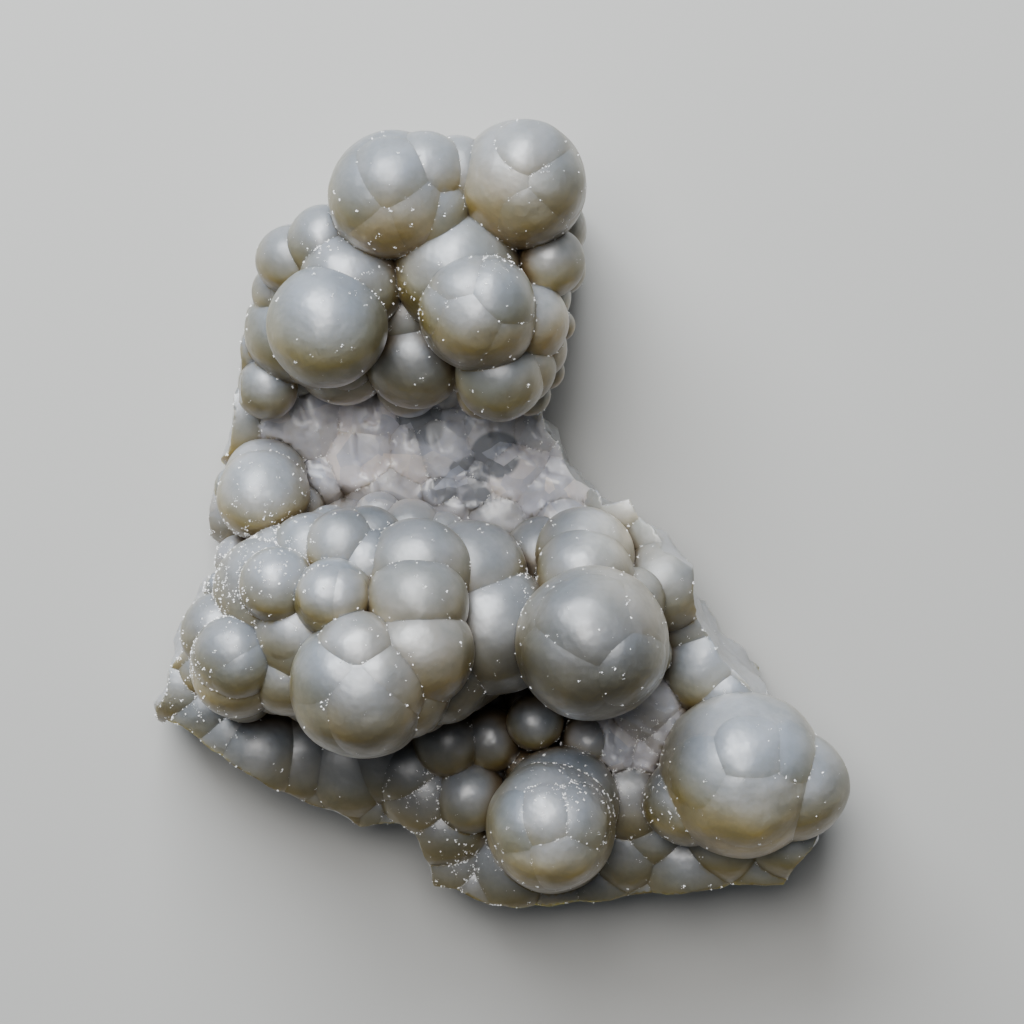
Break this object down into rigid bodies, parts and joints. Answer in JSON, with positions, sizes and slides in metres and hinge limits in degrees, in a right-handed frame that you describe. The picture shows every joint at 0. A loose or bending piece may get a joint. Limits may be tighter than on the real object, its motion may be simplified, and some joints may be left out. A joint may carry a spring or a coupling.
{
  "type": "botryoidal chalcedony",
  "caption": "Loose broken plate of grey-white chalcedony covered in round, grape-like lobes, lying on its flat back.",
  "frame": {"origin": "centre of the bounding box in plan, on the flat back that the stone lies on", "axes": "+Z out of the back, the way the lobes grew; +Y along the plate towards its narrow crown; +X to the right as seen from above with the crown at the top"},
  "size_m": [0.0888, 0.1028, 0.0428],
  "materials": {
    "chalcedony": "waxy satin"
  },
  "bodies": {
    "root": {"chalcedony": "chalcedony"}
  },
  "joints": []
}
